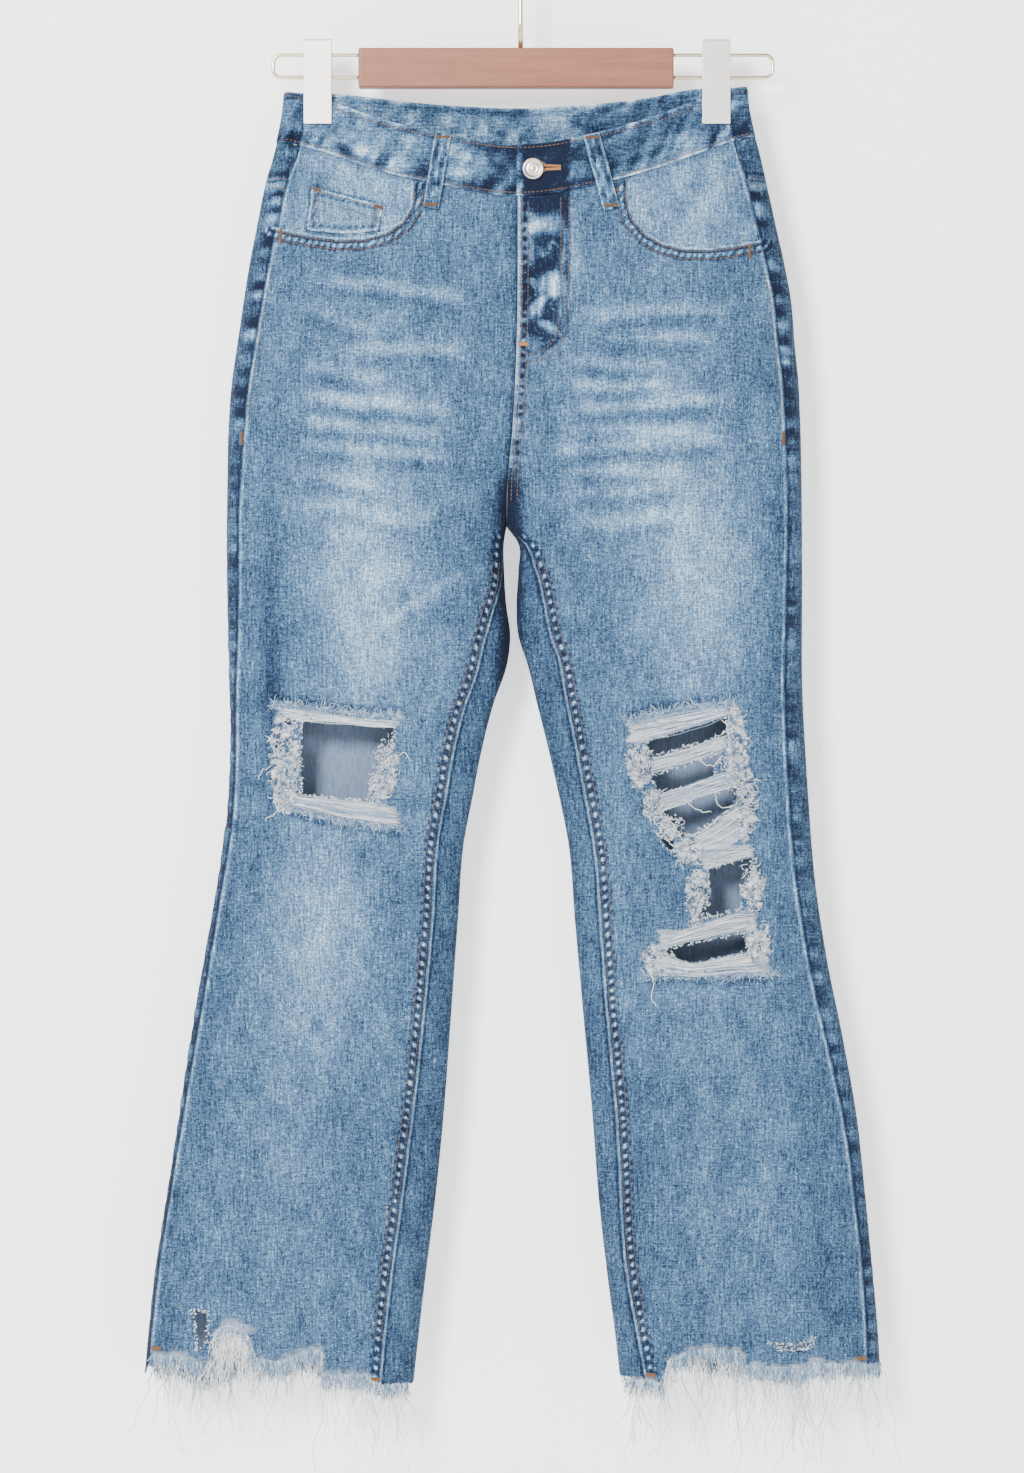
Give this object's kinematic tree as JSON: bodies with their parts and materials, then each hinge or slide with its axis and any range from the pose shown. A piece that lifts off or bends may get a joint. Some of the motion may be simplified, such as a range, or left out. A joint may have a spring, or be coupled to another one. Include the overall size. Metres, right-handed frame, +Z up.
{
  "type": "flared jeans on a clip hanger",
  "caption": "Flared high-waisted jeans with ripped knees and a raw frayed hem, hung flat by the waistband from a wooden clip hanger with a wire hook",
  "frame": {"origin": "hang point, inside the crown of the hanger's hook", "axes": "+Z up, front of the jeans faces -Y, the wearer's right leg is on the -X side"},
  "size_m": [0.5766, 0.0587, 1.2517],
  "materials": {
    "denim": "stonewashed indigo twill, faded thighs and knees, worn seams",
    "raw_thread": "bare white and pale blue cotton threads, frayed",
    "wood": "oiled red-brown wood, satin",
    "clip_metal": "brushed pale nickel",
    "wire_metal": "pale gold plate",
    "button_metal": "aged nickel"
  },
  "bodies": {
    "root": {"front_panel_right": "denim", "front_panel_left": "denim", "back_panel_right": "denim", "back_panel_left": "denim", "yoke_right": "denim", "yoke_left": "denim", "waistband": "denim", "pocket_facing_right": "denim", "pocket_facing_left": "denim", "coin_pocket": "denim", "back_pocket_right": "denim", "back_pocket_left": "denim", "belt_loop_front_right": "denim", "belt_loop_front_left": "denim", "belt_loop_back_right": "denim", "belt_loop_back_left": "denim", "belt_loop_centre_back": "denim", "fringe_front_right_1": "raw_thread", "fringe_front_right_2": "raw_thread", "fringe_front_right_3": "raw_thread", "fringe_front_right_4": "raw_thread", "fringe_front_left_1": "raw_thread", "fringe_front_left_2": "raw_thread", "fringe_front_left_3": "raw_thread", "fringe_back_right_1": "raw_thread", "fringe_back_right_2": "raw_thread", "fringe_back_left_1": "raw_thread", "fringe_back_left_2": "raw_thread", "button": "button_metal", "hanger_bar": "wood", "hanger_wire_right": "wire_metal", "hanger_wire_left": "wire_metal", "hook": "wire_metal", "clip_right": "clip_metal", "clip_left": "clip_metal"}
  },
  "joints": []
}
